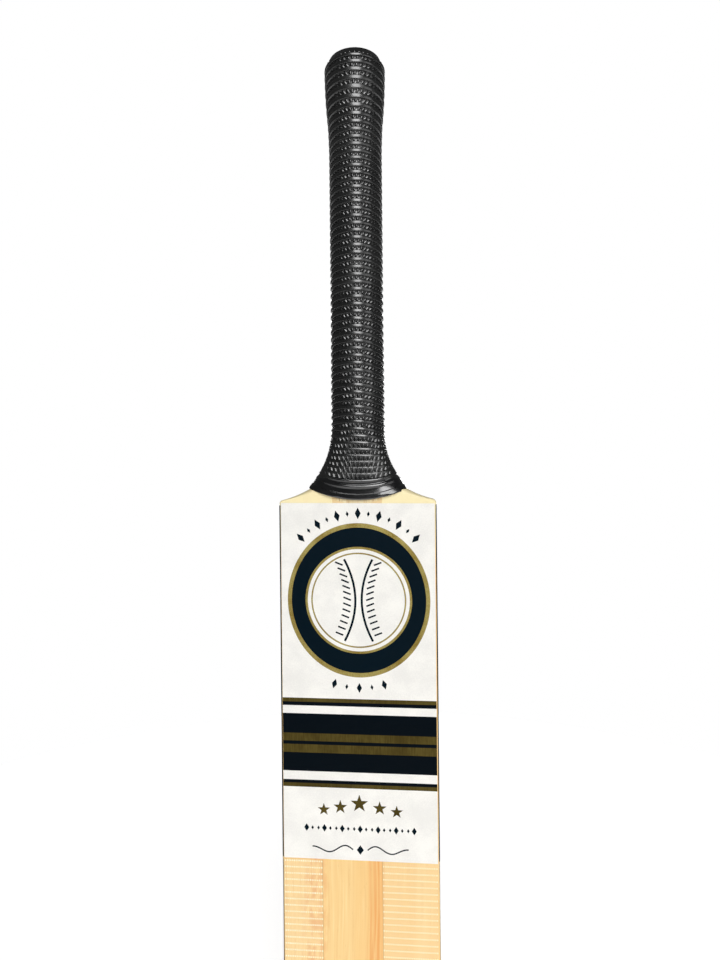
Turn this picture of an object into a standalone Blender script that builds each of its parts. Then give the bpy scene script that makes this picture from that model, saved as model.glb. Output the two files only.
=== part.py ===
"""Full-size, short-handle cricket bat, built as the separate pieces that a bat maker assembles.

Metres, +Z up along the bat. The handle's axis is the Z axis and meets the toe's flat base at the
origin. The striking face looks along -Y, and +X is to the right of someone who faces it.
"""

import math

import bmesh
import bpy
from mathutils import Vector

GAP = 0.0003

# Blade: a flat face, square edges and a swell along the middle of the back.
FACE_Y = -0.016
HALF_WIDTH = 0.0540
# The shoulders leave the corner at a gentle slope and sweep up, hollow, towards the grip.
SHOULDER_Z = 0.5497
SHOULDER_SLOPE = 0.21
SHOULDER_HOLLOW = 9.0
SHOULDER_STEPS = 5
SHOULDER_CORNER_RADIUS = 0.0025
SHOULDER_CORNER_STEPS = 4
SHOULDER_TOP_HALF_WIDTH = 0.033
SHOULDER_ARRIS_RADIUS = 0.008
TOE_GUARD_THICKNESS = 0.002
TOE_GUARD_ROUNDING = 0.0004
TOE_GUARD_OVERHANG = 0.006
BLADE_BOTTOM_Z = TOE_GUARD_THICKNESS + GAP
TOE_CORNER_RADIUS = 0.020
TOE_CORNER_STEPS = 4
BOW_START_Z = 0.290
BOW_AT_TOE = 0.003
FACE_ARRIS_RADIUS = 0.0015
BACK_ARRIS_RADIUS = 0.004
# Height above the toe, depth of the edge, depth at the spine.
DEPTH_STATIONS = (
    (0.000, 0.016, 0.024),
    (0.060, 0.022, 0.035),
    (0.130, 0.027, 0.046),
    (0.210, 0.030, 0.053),
    (0.330, 0.028, 0.049),
    (0.450, 0.024, 0.041),
    (0.551, 0.020, 0.034),
    (0.571, 0.019, 0.033),
)
BACK_STEPS = 16
BLADE_STATIONS = 15

# Splice: the handle's wedge, glued in a V notch that runs through the whole blade.
SPLICE_BOTTOM_Z = 0.441
SPLICE_TOP_Z = 0.571
SPLICE_BOTTOM_HALF_WIDTH = 0.006
SPLICE_TOP_HALF_WIDTH = 0.019
SPLICE_FLUSH_TOP_Z = 0.5475
SPLICE_STEPS = 4
CHEEK_BOTTOM_Z = 0.542
CHEEK_TOP_Z = 0.574
# Long enough to pass right through the bat, for cutters and for the outer cells of the handle.
REACH = 0.08

# Handle: twelve slips of cane in four slabs, with three rubber springs between the slabs.
HANDLE_RADIUS = 0.016
HANDLE_ROUND_Z = 0.600
HANDLE_TOP_Z = 0.8570
# Height and squareness of the neck's sections between the splice and the round shaft.
NECK_STATIONS = ((0.5494, 16), (0.5580, 12), (0.5710, 7))
CELL_BOTTOM_Z = 0.43
CELL_TOP_Z = 0.87
SLIP_HALF_WIDTH = 0.0053
SPRING_THICKNESS = 0.002
SPRING_PITCH = 0.0085
BINDING_THICKNESS = 0.0006
BINDING_BOTTOM_Z = 0.606
BINDING_TOP_Z = 0.8555

# Grip: a rubber sleeve that flares out to the shoulders and thickens at its upper end.
GRIP_WALL = 0.0015
GRIP_INNER_RADIUS = HANDLE_RADIUS + 2 * GAP + BINDING_THICKNESS
GRIP_RADIUS_LOW = 0.0190
# Height and radius up the grip, to the start of its rounded upper edge.
GRIP_STATIONS = (
    (0.680, 0.01865),
    (0.795, 0.01865),
    (0.812, 0.0193),
    (0.822, 0.0202),
    (0.835, 0.0210),
    (0.848, 0.0214),
)
GRIP_RADIUS_TOP = 0.0214
GRIP_TOP_Z = 0.8585
DOME_ACROSS = 0.0042
DOME_TALL = 0.0046
DOME_STEPS = 4
MOUTH_WALL = 0.0006
FLARE_TOP_Z = 0.600
# Half width and share of the rise of the two inner points of the flare's curve.
FLARE_CURVE = ((0.0250, 0.345), (0.0192, 0.476))
FLARE_ROUNDS = 0.8
HEM_SIDE_Z = 0.558
HEM_FRONT_Z = 0.550
HEM_HALF_WIDTH = 0.0343
HEM_HALF_DEPTH = 0.0183
HEM_SQUARENESS = 5.5
HEM_LEAN = 0.0007
FLARE_STEPS = 8
RING_POINTS = 40

# Labels and tapes, thin skins on the blade.
SKIN_THICKNESS = 0.0003
LABEL_HALF_WIDTH = 0.0528
LABEL_BOTTOM_Z = 0.3030
LABEL_TOP_Z = 0.5478
TAPE_TOP_Z = LABEL_BOTTOM_Z - 2 * GAP
TAPE_BOTTOM_Z = 0.032
TAPE_WIDTH_LEFT = 0.028
TAPE_WIDTH_RIGHT = 0.039
TAPE_ON_BACK = 0.012
TAPE_STATIONS = 10
EDGE_LABEL_BOTTOM_Z = 0.304
EDGE_LABEL_TOP_Z = 0.5465
EDGE_LABEL_INSET = 0.0025
BACK_LABEL_BOTTOM_Z = 0.250
BACK_LABEL_TOP_Z = 0.420
BACK_LABEL_INNER_X = 0.014
BACK_LABEL_OUTER_X = 0.040
SKIN_STEPS = 6

MATERIALS = {
    "willow": ((0.86, 0.69, 0.42), 0.50),
    "cane": ((0.74, 0.56, 0.32), 0.60),
    "spring_rubber": ((0.05, 0.05, 0.05), 0.80),
    "twine": ((0.70, 0.62, 0.45), 0.85),
    "grip_rubber": ((0.020, 0.021, 0.024), 0.45),
    "toe_rubber": ((0.04, 0.04, 0.04), 0.70),
    "label_print": ((0.88, 0.88, 0.86), 0.40),
    "fibre_tape": ((0.90, 0.77, 0.52), 0.35),
    "trim_print": ((0.012, 0.016, 0.035), 0.35),
}


def clear_scene():
    for old in list(bpy.data.objects):
        bpy.data.objects.remove(old, do_unlink=True)


def material(name):
    found = bpy.data.materials.get(name)
    if found:
        return found
    colour, roughness = MATERIALS[name]
    made = bpy.data.materials.new(name)
    made.use_nodes = True
    shader = made.node_tree.nodes["Principled BSDF"]
    shader.inputs["Base Color"].default_value = (*colour, 1.0)
    shader.inputs["Roughness"].default_value = roughness
    shader.inputs["Metallic"].default_value = 0.0
    return made


def add_object(name, mesh_builder, finish):
    """One object from a closed bmesh, with its faces turned outwards."""
    bmesh.ops.recalc_face_normals(mesh_builder, faces=mesh_builder.faces)
    mesh = bpy.data.meshes.new(name)
    mesh_builder.to_mesh(mesh)
    mesh_builder.free()
    mesh.shade_smooth()
    mesh.set_sharp_from_angle(angle=math.radians(35))
    mesh.materials.append(material(finish))
    made = bpy.data.objects.new(name, mesh)
    bpy.context.scene.collection.objects.link(made)
    return made


def lofted(rings, closed=False):
    """A bmesh through rings of equally many points: capped, or joined end to end when closed."""
    built = bmesh.new()
    rows = [[built.verts.new(point) for point in ring] for ring in rings]
    pairs = list(zip(rows, rows[1:]))
    if closed:
        pairs.append((rows[-1], rows[0]))
    count = len(rows[0])
    for low, high in pairs:
        for i in range(count):
            j = (i + 1) % count
            built.faces.new((low[i], low[j], high[j], high[i]))
    if not closed:
        cap(built, rows[0])
        cap(built, rows[-1])
    return built


def cap(built, row):
    """Closes a flat ring with one face, and a saddle-shaped one with a fan from its middle."""
    heights = [vert.co.z for vert in row]
    sides = [vert.co.y for vert in row]
    if max(heights) - min(heights) < 1e-7 or max(sides) - min(sides) < 1e-7:
        built.faces.new(row)
        return
    centre = built.verts.new(sum((vert.co for vert in row), Vector()) / len(row))
    for i, vert in enumerate(row):
        built.faces.new((vert, row[(i + 1) % len(row)], centre))


def box(name, low, high, finish="cane"):
    rings = []
    for z in (low[2], high[2]):
        rings.append(
            [(low[0], low[1], z), (high[0], low[1], z), (high[0], high[1], z), (low[0], high[1], z)]
        )
    return add_object(name, lofted(rings), finish)


def as_cutter(piece):
    piece.hide_render = True
    piece.display_type = "WIRE"
    return piece


def boolean(piece, operation, other):
    modifier = piece.modifiers.new(f"{operation.lower()}_{other.name}", "BOOLEAN")
    modifier.operation = operation
    modifier.solver = "EXACT"
    modifier.object = other
    return piece


def eased(t):
    return t * t * (3 - 2 * t)


def mix(a, b, t):
    return a + (b - a) * t


def clamp01(t):
    return max(0.0, min(1.0, t))


def smooth_through(stations, z, column):
    """A smooth curve through the stations' values, flat beyond the first and the last."""
    if z <= stations[0][0]:
        return stations[0][column]
    for k in range(len(stations) - 1):
        low, high = stations[k], stations[k + 1]
        if z <= high[0]:
            before = stations[max(k - 1, 0)]
            after = stations[min(k + 2, len(stations) - 1)]
            span = high[0] - low[0]
            t = (z - low[0]) / span
            slope_low = (high[column] - before[column]) / (high[0] - before[0]) * span
            slope_high = (after[column] - low[column]) / (after[0] - low[0]) * span
            return (
                (2 * t**3 - 3 * t**2 + 1) * low[column]
                + (t**3 - 2 * t**2 + t) * slope_low
                + (3 * t**2 - 2 * t**3) * high[column]
                + (t**3 - t**2) * slope_high
            )
    return stations[-1][column]


def face_y(z):
    """The striking face: flat above, and bowed a little forward towards the toe."""
    below = clamp01((BOW_START_Z - z) / BOW_START_Z)
    return FACE_Y - BOW_AT_TOE * below**2


def edge_depth(z):
    return smooth_through(DEPTH_STATIONS, z, 1)


def back_y(x, z):
    """The back: hollowed beside the edges, and rounded over the spine."""
    across = 1 - min(abs(x) / HALF_WIDTH, 1.0)
    edge = edge_depth(z)
    spine = smooth_through(DEPTH_STATIONS, z, 2)
    return face_y(z) + edge + (spine - edge) * eased(across)


def half_width(z):
    """The blade's outline seen from the front, below its shoulders."""
    above_toe = z - BLADE_BOTTOM_Z
    if above_toe >= TOE_CORNER_RADIUS:
        return HALF_WIDTH
    drop = TOE_CORNER_RADIUS - above_toe
    return HALF_WIDTH - TOE_CORNER_RADIUS + math.sqrt(TOE_CORNER_RADIUS**2 - drop**2)


def shoulder_outline():
    """(half width, z) up the rounded corner and along the hollow shoulder, under the grip."""
    turn = math.pi / 2 - math.atan(SHOULDER_SLOPE)
    radius = SHOULDER_CORNER_RADIUS
    centre_z = SHOULDER_Z - radius * math.tan(turn / 2)
    points = []
    for step in range(SHOULDER_CORNER_STEPS + 1):
        angle = turn * step / SHOULDER_CORNER_STEPS
        points.append(
            (HALF_WIDTH - radius + radius * math.cos(angle), centre_z + radius * math.sin(angle))
        )
    start = points[-1][0]
    for step in range(1, SHOULDER_STEPS + 1):
        width = mix(start, SHOULDER_TOP_HALF_WIDTH, step / SHOULDER_STEPS)
        inward = HALF_WIDTH - width
        points.append((width, SHOULDER_Z + inward * (SHOULDER_SLOPE + SHOULDER_HOLLOW * inward)))
    return points


def blade_ring(width, z):
    """One section: flat face, rounded arrises, square edges and swelled back.

    The arrises are carved rounder where the shoulders narrow towards the grip.
    """
    front = face_y(z)
    rear = front + edge_depth(z)
    carved = clamp01((HALF_WIDTH - width) / (HALF_WIDTH - SHOULDER_TOP_HALF_WIDTH))
    if z < BOW_START_Z:
        carved = 0.0
    face_r = mix(FACE_ARRIS_RADIUS, SHOULDER_ARRIS_RADIUS, carved)
    back_r = mix(BACK_ARRIS_RADIUS, SHOULDER_ARRIS_RADIUS, carved)
    right = []
    for step in range(3):
        angle = math.pi / 2 * step / 2
        right.append(
            (width - face_r + face_r * math.sin(angle), front + face_r - face_r * math.cos(angle))
        )
    for step in range(3):
        angle = math.pi / 2 * step / 2
        right.append(
            (width - back_r + back_r * math.cos(angle), rear - back_r + back_r * math.sin(angle))
        )
    back = []
    reach = width - back_r
    for step in range(1, BACK_STEPS):
        x = reach * math.cos(math.pi * step / BACK_STEPS)
        start = back_y(reach, z) - rear
        back.append((x, back_y(x, z) - start * abs(x) / reach))
    left = [(-x, y) for x, y in reversed(right)]
    return [Vector((x, y, z)) for x, y in right + back + left]


def blade_stations():
    """(half width, z) of every section, from the toe to the top of the shoulders."""
    stations = []
    for step in range(TOE_CORNER_STEPS + 1):
        rise = TOE_CORNER_RADIUS * (1 - math.cos(math.pi / 2 * step / TOE_CORNER_STEPS))
        z = BLADE_BOTTOM_Z + max(rise, 0.0004 * step)
        stations.append((half_width(z), z))
    outline = shoulder_outline()
    low = stations[-1][1]
    high = outline[0][1]
    for step in range(1, BLADE_STATIONS):
        z = mix(low, high, step / BLADE_STATIONS)
        stations.append((HALF_WIDTH, z))
    return stations + outline


def superellipse(half_x, half_y, squareness, height):
    """A ring between an ellipse (squareness 2) and a rectangle; height gives z from an angle."""
    ring = []
    for k in range(RING_POINTS):
        angle = 2 * math.pi * k / RING_POINTS
        cosine, sine = math.cos(angle), math.sin(angle)
        x = half_x * math.copysign(abs(cosine) ** (2 / squareness), cosine)
        y = half_y * math.copysign(abs(sine) ** (2 / squareness), sine)
        ring.append(Vector((x, y, height(angle))))
    return ring


def flat_ring(half_x, half_y, squareness, z):
    return superellipse(half_x, half_y, squareness, lambda angle: z)


def splice_half_width(z):
    t = clamp01((z - SPLICE_BOTTOM_Z) / (SPLICE_TOP_Z - SPLICE_BOTTOM_Z))
    return mix(SPLICE_BOTTOM_HALF_WIDTH, SPLICE_TOP_HALF_WIDTH, t)


def splice_ring(z):
    """A section of the wedge, flush with the blade's face and back."""
    width = splice_half_width(z)
    ring = []
    for k in range(RING_POINTS):
        angle = 2 * math.pi * k / RING_POINTS
        cosine, sine = math.cos(angle), math.sin(angle)
        longest = max(abs(cosine), abs(sine))
        x = width * cosine / longest
        limit = back_y(x, z) if sine > 0 else -face_y(z)
        ring.append(Vector((x, limit * sine / longest, z)))
    return ring


def handle_core_rings():
    """The whole cane handle before it is divided: wedge, oval neck and round shaft."""
    rings = []
    for step in range(SPLICE_STEPS + 1):
        rings.append(splice_ring(mix(SPLICE_BOTTOM_Z, SPLICE_FLUSH_TOP_Z, step / SPLICE_STEPS)))
    for z, squareness in NECK_STATIONS:
        rings.append(flat_ring(splice_half_width(z), HANDLE_RADIUS, squareness, z))
    for step in (1, 2, 3):
        t = step / 3
        half_x = mix(SPLICE_TOP_HALF_WIDTH, HANDLE_RADIUS, eased(t))
        z = mix(SPLICE_TOP_Z, HANDLE_ROUND_Z, t)
        rings.append(flat_ring(half_x, HANDLE_RADIUS, mix(7, 2, t**0.6), z))
    rings.append(flat_ring(HANDLE_RADIUS, HANDLE_RADIUS, 2, HANDLE_TOP_Z))
    return rings


def flare_profile(t):
    """(half width, rise above the hem) along the flare, a cubic curve from hem to shaft."""
    rise = FLARE_TOP_Z - HEM_SIDE_Z
    points = [(HEM_HALF_WIDTH, 0.0)]
    points += [(half_x, share * rise) for half_x, share in FLARE_CURVE]
    points.append((GRIP_RADIUS_LOW, rise))
    weights = ((1 - t) ** 3, 3 * t * (1 - t) ** 2, 3 * t * t * (1 - t), t**3)
    return tuple(sum(w * p[axis] for w, p in zip(weights, points)) for axis in (0, 1))


def hem_z(angle):
    """The grip's lower edge: high on the shoulders, sagging on to the face and the back."""
    cosine = math.cos(angle)
    across = math.copysign(abs(cosine) ** (2 / HEM_SQUARENESS), cosine)
    return mix(HEM_FRONT_Z, HEM_SIDE_Z, across**2) - HEM_LEAN * across


def flare_ring(t, inset, lower=0.0):
    half_x, rise = flare_profile(t)
    share = rise / (FLARE_TOP_Z - HEM_SIDE_Z)
    half_y = mix(HEM_HALF_DEPTH, GRIP_RADIUS_LOW, share)
    squareness = mix(HEM_SQUARENESS, 2.0, clamp01(share) ** FLARE_ROUNDS)

    def height(angle):
        return mix(hem_z(angle) - lower, FLARE_TOP_Z, share)

    return superellipse(half_x - inset, half_y - inset, squareness, height)


def grip_outer_rings():
    rings = [flare_ring(step / FLARE_STEPS, 0.0) for step in range(FLARE_STEPS + 1)]
    for z, radius in GRIP_STATIONS:
        rings.append(flat_ring(radius, radius, 2, z))
    for step in range(DOME_STEPS):
        angle = math.pi / 2 * step / DOME_STEPS
        radius = GRIP_RADIUS_TOP - DOME_ACROSS * (1 - math.cos(angle))
        z = GRIP_TOP_Z - DOME_TALL * (1 - math.sin(angle))
        rings.append(flat_ring(radius, radius, 2, z))
    mouth = GRIP_INNER_RADIUS + MOUTH_WALL
    rings.append(flat_ring(mouth, mouth, 2, GRIP_TOP_Z))
    return rings


def grip_inner_rings():
    """The bore, from the grip's open top down to the hem."""
    rings = [flat_ring(GRIP_INNER_RADIUS, GRIP_INNER_RADIUS, 2, GRIP_TOP_Z - MOUTH_WALL)]
    for step in range(FLARE_STEPS, -1, -1):
        rings.append(flare_ring(step / FLARE_STEPS, GRIP_WALL))
    return rings


def make_grip():
    rings = grip_outer_rings() + grip_inner_rings()
    return add_object("grip_sleeve", lofted(rings, closed=True), "grip_rubber")


def make_grip_envelope():
    """The space that the grip's flare needs, cut out of the shoulders."""
    rings = [flare_ring(0.0, GRIP_WALL + GAP, GAP)]
    rings += [flare_ring(step / FLARE_STEPS, -GAP, GAP) for step in range(FLARE_STEPS + 1)]
    return as_cutter(add_object("grip_envelope", lofted(rings), "willow"))


def make_cheeks():
    """The willow that rises inside the grip on both sides of the handle."""
    inset = GRIP_WALL + GAP
    half_x = HEM_HALF_WIDTH - inset
    rings = [flat_ring(half_x, -FACE_Y - GAP, HEM_SQUARENESS, CHEEK_BOTTOM_Z)]
    for step in range(FLARE_STEPS + 1):
        ring = flare_ring(step / FLARE_STEPS, inset + GAP * step / FLARE_STEPS)
        if max(point.z for point in ring) < CHEEK_TOP_Z:
            rings.append(ring)
    return as_cutter(add_object("cheeks", lofted(rings), "willow"))


def make_notch():
    """The V notch, which runs through the blade from face to back."""
    low = SPLICE_BOTTOM_HALF_WIDTH + GAP
    high = SPLICE_TOP_HALF_WIDTH + GAP
    outline = (
        (-low, SPLICE_BOTTOM_Z - GAP),
        (low, SPLICE_BOTTOM_Z - GAP),
        (high, SPLICE_TOP_Z),
        (high, HANDLE_ROUND_Z),
        (-high, HANDLE_ROUND_Z),
        (-high, SPLICE_TOP_Z),
    )
    rings = [[Vector((x, y, z)) for x, z in outline] for y in (-REACH, REACH)]
    return as_cutter(add_object("splice_notch", lofted(rings), "willow"))


def make_blade():
    rings = [blade_ring(width, z) for width, z in blade_stations()]
    blade = add_object("blade", lofted(rings), "willow")
    boolean(blade, "DIFFERENCE", make_grip_envelope())
    boolean(blade, "UNION", make_cheeks())
    boolean(blade, "DIFFERENCE", make_notch())
    return blade


def spring_centres():
    return {"front": -SPRING_PITCH, "middle": 0.0, "back": SPRING_PITCH}


def make_handle_slice(name, low_x, high_x, low_y, high_y, finish):
    """One slip or spring: the handle's outer shape, kept only inside its own cell."""
    piece = add_object(name, lofted(handle_core_rings()), finish)
    low = (low_x, low_y, CELL_BOTTOM_Z)
    high = (high_x, high_y, CELL_TOP_Z)
    cell = box(f"cell_{name}", low, high)
    return boolean(piece, "INTERSECT", as_cutter(cell))


def make_handle():
    edge = SLIP_HALF_WIDTH
    columns = {
        "left": (-REACH, -edge - GAP / 2),
        "middle": (-edge + GAP / 2, edge - GAP / 2),
        "right": (edge + GAP / 2, REACH),
    }
    springs = spring_centres()
    half = SPRING_THICKNESS / 2
    slabs = {
        "front": (-REACH, springs["front"] - half - GAP),
        "mid_front": (springs["front"] + half + GAP, springs["middle"] - half - GAP),
        "mid_back": (springs["middle"] + half + GAP, springs["back"] - half - GAP),
        "back": (springs["back"] + half + GAP, REACH),
    }
    for slab, (low_y, high_y) in slabs.items():
        for column, (low_x, high_x) in columns.items():
            make_handle_slice(f"cane_{slab}_{column}", low_x, high_x, low_y, high_y, "cane")
    for layer, centre in springs.items():
        name = f"rubber_spring_{layer}"
        make_handle_slice(name, -REACH, REACH, centre - half, centre + half, "spring_rubber")


def make_binding():
    """The waxed twine wound along the shaft, as one thin sleeve."""
    inner = HANDLE_RADIUS + GAP
    outer = inner + BINDING_THICKNESS
    rings = []
    for radius, z in (
        (outer, BINDING_BOTTOM_Z),
        (outer, BINDING_TOP_Z),
        (inner, BINDING_TOP_Z),
        (inner, BINDING_BOTTOM_Z),
    ):
        rings.append(flat_ring(radius, radius, 2, z))
    return add_object("handle_binding", lofted(rings, True), "twine")


def make_toe_guard():
    """A rubber strip glued under the toe, with a flat base that follows the toe's section."""
    outline = blade_ring(half_width(BLADE_BOTTOM_Z) + TOE_GUARD_OVERHANG, 0.0)
    middle = Vector((0.0, (outline[0].y + back_y(0.0, 0.0)) / 2, 0.0))
    rings = []
    for share, z in ((0.955, 0.0), (0.975, TOE_GUARD_ROUNDING), (0.975, TOE_GUARD_THICKNESS)):
        rings.append([middle.lerp(point, share) + Vector((0, 0, z)) for point in outline])
    return add_object("toe_guard", lofted(rings), "toe_rubber")


def make_face_label():
    front = FACE_Y - GAP
    return box(
        "face_label",
        (-LABEL_HALF_WIDTH, front - SKIN_THICKNESS, LABEL_BOTTOM_Z),
        (LABEL_HALF_WIDTH, front, LABEL_TOP_Z),
        "label_print",
    )


def tape_path(width_on_face, z, lift):
    """From the tape's border on the face, round the right edge, to its border on the back."""
    out = HALF_WIDTH + lift
    front = face_y(z) - lift
    path = [(HALF_WIDTH - width_on_face, front), (out, front)]
    for x in (HALF_WIDTH, HALF_WIDTH - TAPE_ON_BACK / 2, HALF_WIDTH - TAPE_ON_BACK):
        reach = out if x == HALF_WIDTH else x
        path.append((reach, back_y(x, z) + lift))
    return path


def make_tape(name, side, width_on_face):
    rings = []
    for step in range(TAPE_STATIONS + 1):
        z = mix(TAPE_BOTTOM_Z, TAPE_TOP_Z, step / TAPE_STATIONS)
        outer = tape_path(width_on_face, z, GAP + SKIN_THICKNESS)
        inner = tape_path(width_on_face, z, GAP)
        rings.append([Vector((side * x, y, z)) for x, y in outer + inner[::-1]])
    return add_object(name, lofted(rings), "fibre_tape")


def make_edge_label(name, side):
    low_x = HALF_WIDTH + GAP
    rings = []
    high_x = low_x + SKIN_THICKNESS
    for step in range(SKIN_STEPS + 1):
        z = mix(EDGE_LABEL_BOTTOM_Z, EDGE_LABEL_TOP_Z, step / SKIN_STEPS)
        front = face_y(z) + EDGE_LABEL_INSET
        rear = face_y(z) + edge_depth(z) - BACK_ARRIS_RADIUS
        outline = ((low_x, front), (high_x, front), (high_x, rear), (low_x, rear))
        rings.append([Vector((side * x, y, z)) for x, y in outline])
    return add_object(name, lofted(rings), "trim_print")


def make_back_label(name, side):
    rings = []
    shares = [k / SKIN_STEPS for k in range(SKIN_STEPS + 1)]
    across = [mix(BACK_LABEL_INNER_X, BACK_LABEL_OUTER_X, share) for share in shares]
    for share in shares:
        z = mix(BACK_LABEL_BOTTOM_Z, BACK_LABEL_TOP_Z, share)
        low = [(x, back_y(x, z) + 2 * GAP) for x in across]
        high = [(x, y + SKIN_THICKNESS) for x, y in reversed(low)]
        rings.append([Vector((side * x, y, z)) for x, y in low + high])
    return add_object(name, lofted(rings), "trim_print")


def main():
    clear_scene()
    make_blade()
    make_toe_guard()
    make_handle()
    make_binding()
    make_grip()
    make_face_label()
    make_tape("face_tape_left", -1, TAPE_WIDTH_LEFT)
    make_tape("face_tape_right", 1, TAPE_WIDTH_RIGHT)
    for word, side in (("left", -1), ("right", 1)):
        make_edge_label(f"edge_label_{word}", side)
        make_back_label(f"back_label_{word}", side)


main()
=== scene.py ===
import math
import random

import bmesh
import bpy
from mathutils import Matrix, Vector


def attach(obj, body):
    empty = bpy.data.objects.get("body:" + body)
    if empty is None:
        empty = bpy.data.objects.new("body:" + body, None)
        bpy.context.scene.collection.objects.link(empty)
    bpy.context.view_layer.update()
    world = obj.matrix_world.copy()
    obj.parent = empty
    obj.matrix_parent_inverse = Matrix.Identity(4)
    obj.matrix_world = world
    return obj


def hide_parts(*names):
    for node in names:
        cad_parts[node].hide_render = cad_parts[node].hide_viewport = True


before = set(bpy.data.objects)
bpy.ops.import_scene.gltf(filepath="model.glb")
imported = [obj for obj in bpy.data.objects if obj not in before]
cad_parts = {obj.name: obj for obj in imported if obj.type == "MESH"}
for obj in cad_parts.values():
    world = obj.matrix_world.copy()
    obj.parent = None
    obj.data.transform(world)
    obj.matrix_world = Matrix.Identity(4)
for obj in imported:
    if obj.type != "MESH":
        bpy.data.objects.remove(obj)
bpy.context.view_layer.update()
print("frame loaded,", len(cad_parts), "pieces of the bat")

mm = 0.001


def clamp01(t):
    return max(0.0, min(1.0, t))


def mix(a, b, t):
    return a + (b - a) * t


def eased(t):
    t = clamp01(t)
    return t * t * (3 - 2 * t)


def steps(low, high, count):
    return [mix(low, high, k / count) for k in range(count + 1)]


# a smooth curve through rows of (height, value, value ...), flat past both ends
def smoothThrough(rows, z, column=1):
    if z <= rows[0][0]:
        return rows[0][column]
    for k in range(len(rows) - 1):
        low, high = rows[k], rows[k + 1]
        if z <= high[0]:
            before = rows[max(k - 1, 0)]
            after = rows[min(k + 2, len(rows) - 1)]
            span = high[0] - low[0]
            t = (z - low[0]) / span
            slopeLow = (high[column] - before[column]) / (high[0] - before[0]) * span
            slopeHigh = (after[column] - low[column]) / (after[0] - low[0]) * span
            return (
                (2 * t**3 - 3 * t**2 + 1) * low[column]
                + (t**3 - 2 * t**2 + t) * slopeLow
                + (3 * t**2 - 2 * t**3) * high[column]
                + (t**3 - t**2) * slopeHigh
            )
    return rows[-1][column]


def meshPiece(name, points, faces, finish, crease=35):
    mesh = bpy.data.meshes.new(name)
    mesh.from_pydata([tuple(p) for p in points], [], faces)
    built = bmesh.new()
    built.from_mesh(mesh)
    bmesh.ops.recalc_face_normals(built, faces=built.faces)
    built.to_mesh(mesh)
    built.free()
    mesh.shade_smooth()
    if crease:
        mesh.set_sharp_from_angle(angle=math.radians(crease))
    mesh.materials.append(finish)
    piece = bpy.data.objects.new(name, mesh)
    bpy.context.scene.collection.objects.link(piece)
    return piece


# rings of equally many points, skinned; around=True joins the last ring to the first
def loft(name, rings, finish, around=False, crease=35, heights=None):
    count = len(rings[0])
    points = [p for ring in rings for p in ring]
    faces = []
    pairs = [(k, k + 1) for k in range(len(rings) - 1)]
    if around:
        pairs.append((len(rings) - 1, 0))
    for low, high in pairs:
        for i in range(count):
            j = (i + 1) % count
            faces.append((low * count + i, low * count + j, high * count + j, high * count + i))
    if not around:
        faces.append(tuple(range(count)))
        faces.append(tuple(range((len(rings) - 1) * count, len(rings) * count)))
    piece = meshPiece(name, points, faces, finish, crease)
    if heights:
        keepHeights(piece, [height for height in heights for _ in range(count)])
    return piece


# how high every point stands on its moulding, from 0 at the root to 1 at the crest, for the finish, which
# paints shade in the hollows with it
def keepHeights(piece, values):
    piece.data.attributes.new("moulded", "FLOAT", "POINT").data.foreach_set("value", values)


# many small closed solids in one mesh; each is (points, faces)
def cluster(name, solids, finish, crease=35):
    points, faces = [], []
    for solidPoints, solidFaces in solids:
        start = len(points)
        points += solidPoints
        faces += [tuple(start + k for k in face) for face in solidFaces]
    return meshPiece(name, points, faces, finish, crease)


def settle(piece, slotName, *nodes):
    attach(piece, "root")
    if nodes:
        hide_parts(*nodes)
    return piece


def newFinish(name, roughness=0.5, specular=0.5, coat=0.0, coatRoughness=0.1, metallic=0.0):
    finish = bpy.data.materials.new(name)
    finish.use_nodes = True
    tree = finish.node_tree
    tree.nodes.clear()
    end = tree.nodes.new("ShaderNodeOutputMaterial")
    shader = tree.nodes.new("ShaderNodeBsdfPrincipled")
    shader.inputs["Roughness"].default_value = roughness
    shader.inputs["Specular IOR Level"].default_value = specular
    shader.inputs["Coat Weight"].default_value = coat
    shader.inputs["Coat Roughness"].default_value = coatRoughness
    shader.inputs["Metallic"].default_value = metallic
    tree.links.new(shader.outputs[0], end.inputs["Surface"])
    return finish, tree, shader


def put(tree, socket, value):
    if isinstance(value, bpy.types.NodeSocket):
        tree.links.new(value, socket)
    else:
        socket.default_value = value


def place(tree, scale=(1, 1, 1)):
    where = tree.nodes.new("ShaderNodeTexCoord")
    mapping = tree.nodes.new("ShaderNodeMapping")
    mapping.inputs["Scale"].default_value = scale
    tree.links.new(where.outputs["Object"], mapping.inputs["Vector"])
    return mapping.outputs[0]


def noise(tree, vector, scale=1.0, detail=3.0, rough=0.5):
    made = tree.nodes.new("ShaderNodeTexNoise")
    tree.links.new(vector, made.inputs["Vector"])
    made.inputs["Scale"].default_value = scale
    made.inputs["Detail"].default_value = detail
    made.inputs["Roughness"].default_value = rough
    return made.outputs["Fac"]


def sums(tree, kind, *values):
    made = tree.nodes.new("ShaderNodeMath")
    made.operation = kind
    for k, value in enumerate(values):
        put(tree, made.inputs[k], value)
    return made.outputs[0]


def times(tree, *values):
    return sums(tree, "MULTIPLY", *values)


def distanceTo(tree, value, middle):
    return sums(tree, "ABSOLUTE", sums(tree, "SUBTRACT", value, middle))


def mottle(tree, size, detail, rough=0.5):
    return noise(tree, place(tree, size), 1.0, detail, rough)


def spread(tree, value, low, high, toLow=0.0, toHigh=1.0):
    made = tree.nodes.new("ShaderNodeMapRange")
    made.interpolation_type = "SMOOTHSTEP"
    put(tree, made.inputs["Value"], value)
    for word, number in (("From Min", low), ("From Max", high), ("To Min", toLow), ("To Max", toHigh)):
        made.inputs[word].default_value = number
    return made.outputs["Result"]


def colour(rgb):
    return (*[(c / 255 / 12.92 if c <= 10 else ((c / 255 + 0.055) / 1.055) ** 2.4) for c in rgb], 1.0)


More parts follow.
